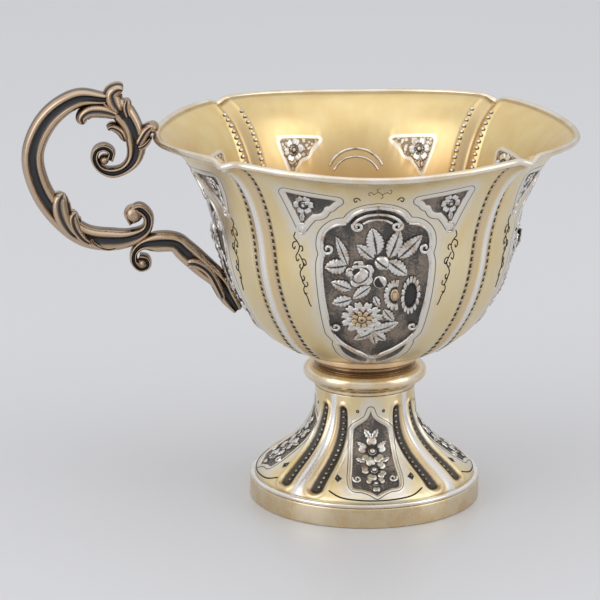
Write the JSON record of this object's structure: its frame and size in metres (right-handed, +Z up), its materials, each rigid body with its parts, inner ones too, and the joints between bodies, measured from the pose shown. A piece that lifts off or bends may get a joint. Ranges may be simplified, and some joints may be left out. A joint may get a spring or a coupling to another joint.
{
  "type": "footed handled cup",
  "caption": "Footed silver-gilt cup with a lobed flaring bowl, chased flower panels, a moulded stem, a trumpet foot and a cast scroll handle.",
  "frame": {"origin": "middle of the part's footprint box at table height", "axes": "+Z up along the cup, +X from the handle toward the far side of the bowl"},
  "size_m": [0.1256, 0.0968, 0.0971],
  "materials": {
    "gilt": "worn pale gilding over silver, polished, dark in the recesses",
    "silver": "bright worn silver edge with traces of gilding",
    "patinated": "darkened cast metal, rubbed bright on the ridges"
  },
  "bodies": {
    "root": {"foot_band": "gilt", "foot_edge_wire": "silver", "foot_shell": "gilt", "knop_ring": "gilt", "bowl_collar": "gilt", "bowl": "gilt", "rim_wire": "silver", "handle_top_scroll": "patinated", "handle_c_scroll": "patinated", "handle_bracket": "patinated"}
  },
  "joints": []
}
